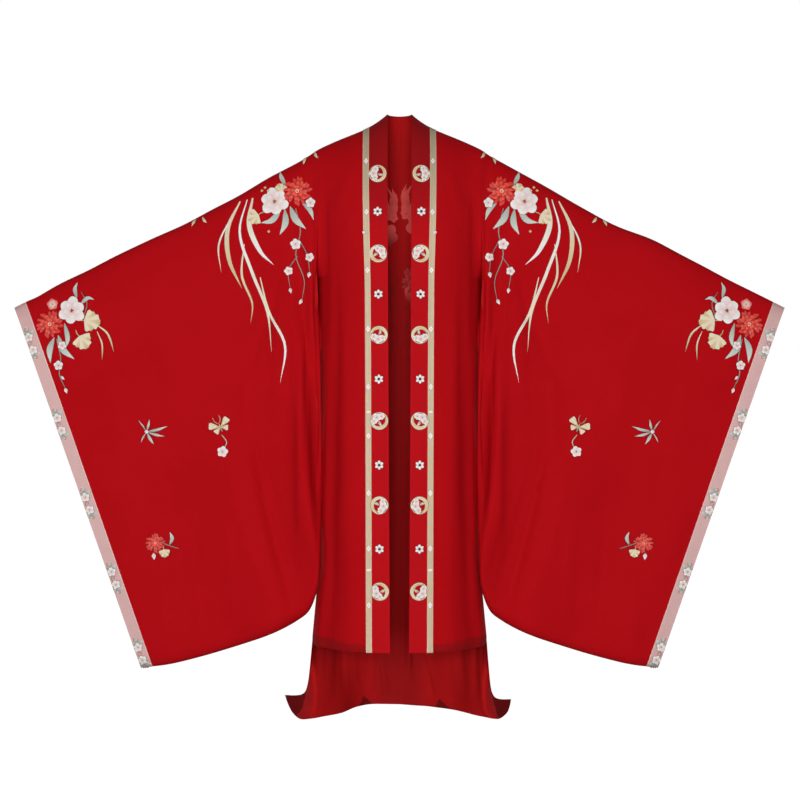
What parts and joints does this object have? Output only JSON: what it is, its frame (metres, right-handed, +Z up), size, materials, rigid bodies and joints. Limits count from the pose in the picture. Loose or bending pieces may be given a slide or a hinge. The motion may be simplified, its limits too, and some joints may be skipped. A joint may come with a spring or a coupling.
{
  "type": "wide-sleeved hanfu wedding robe",
  "caption": "Open-fronted wide-sleeved robe, filled out as if worn, with a parallel collar band, braid, cuff bands and a trailing back; hollow body and sleeves.",
  "frame": {"origin": "midway between the two places where the shoulder line meets the neck, where the wearer's shoulders carry the robe", "axes": "+X to the wearer's left, along the spread sleeves; the robe faces -Y; +Z up"},
  "size_m": [1.9646, 0.3667, 1.5435],
  "materials": {
    "robe_satin": "soft red satin with a low sheen, embroidered",
    "band_satin": "smooth red satin band with embroidered roundels",
    "gold_braid": "woven pale gold braid",
    "cuff_brocade": "dusty pink woven border band"
  },
  "bodies": {
    "root": {"front_left": "robe_satin", "front_right": "robe_satin", "back_left": "robe_satin", "back_right": "robe_satin", "sleeve_front_left": "robe_satin", "sleeve_back_left": "robe_satin", "sleeve_front_right": "robe_satin", "sleeve_back_right": "robe_satin", "collar_left": "band_satin", "collar_right": "band_satin", "braid_left": "gold_braid", "braid_right": "gold_braid", "cuff_left": "cuff_brocade", "cuff_right": "cuff_brocade"}
  },
  "joints": []
}
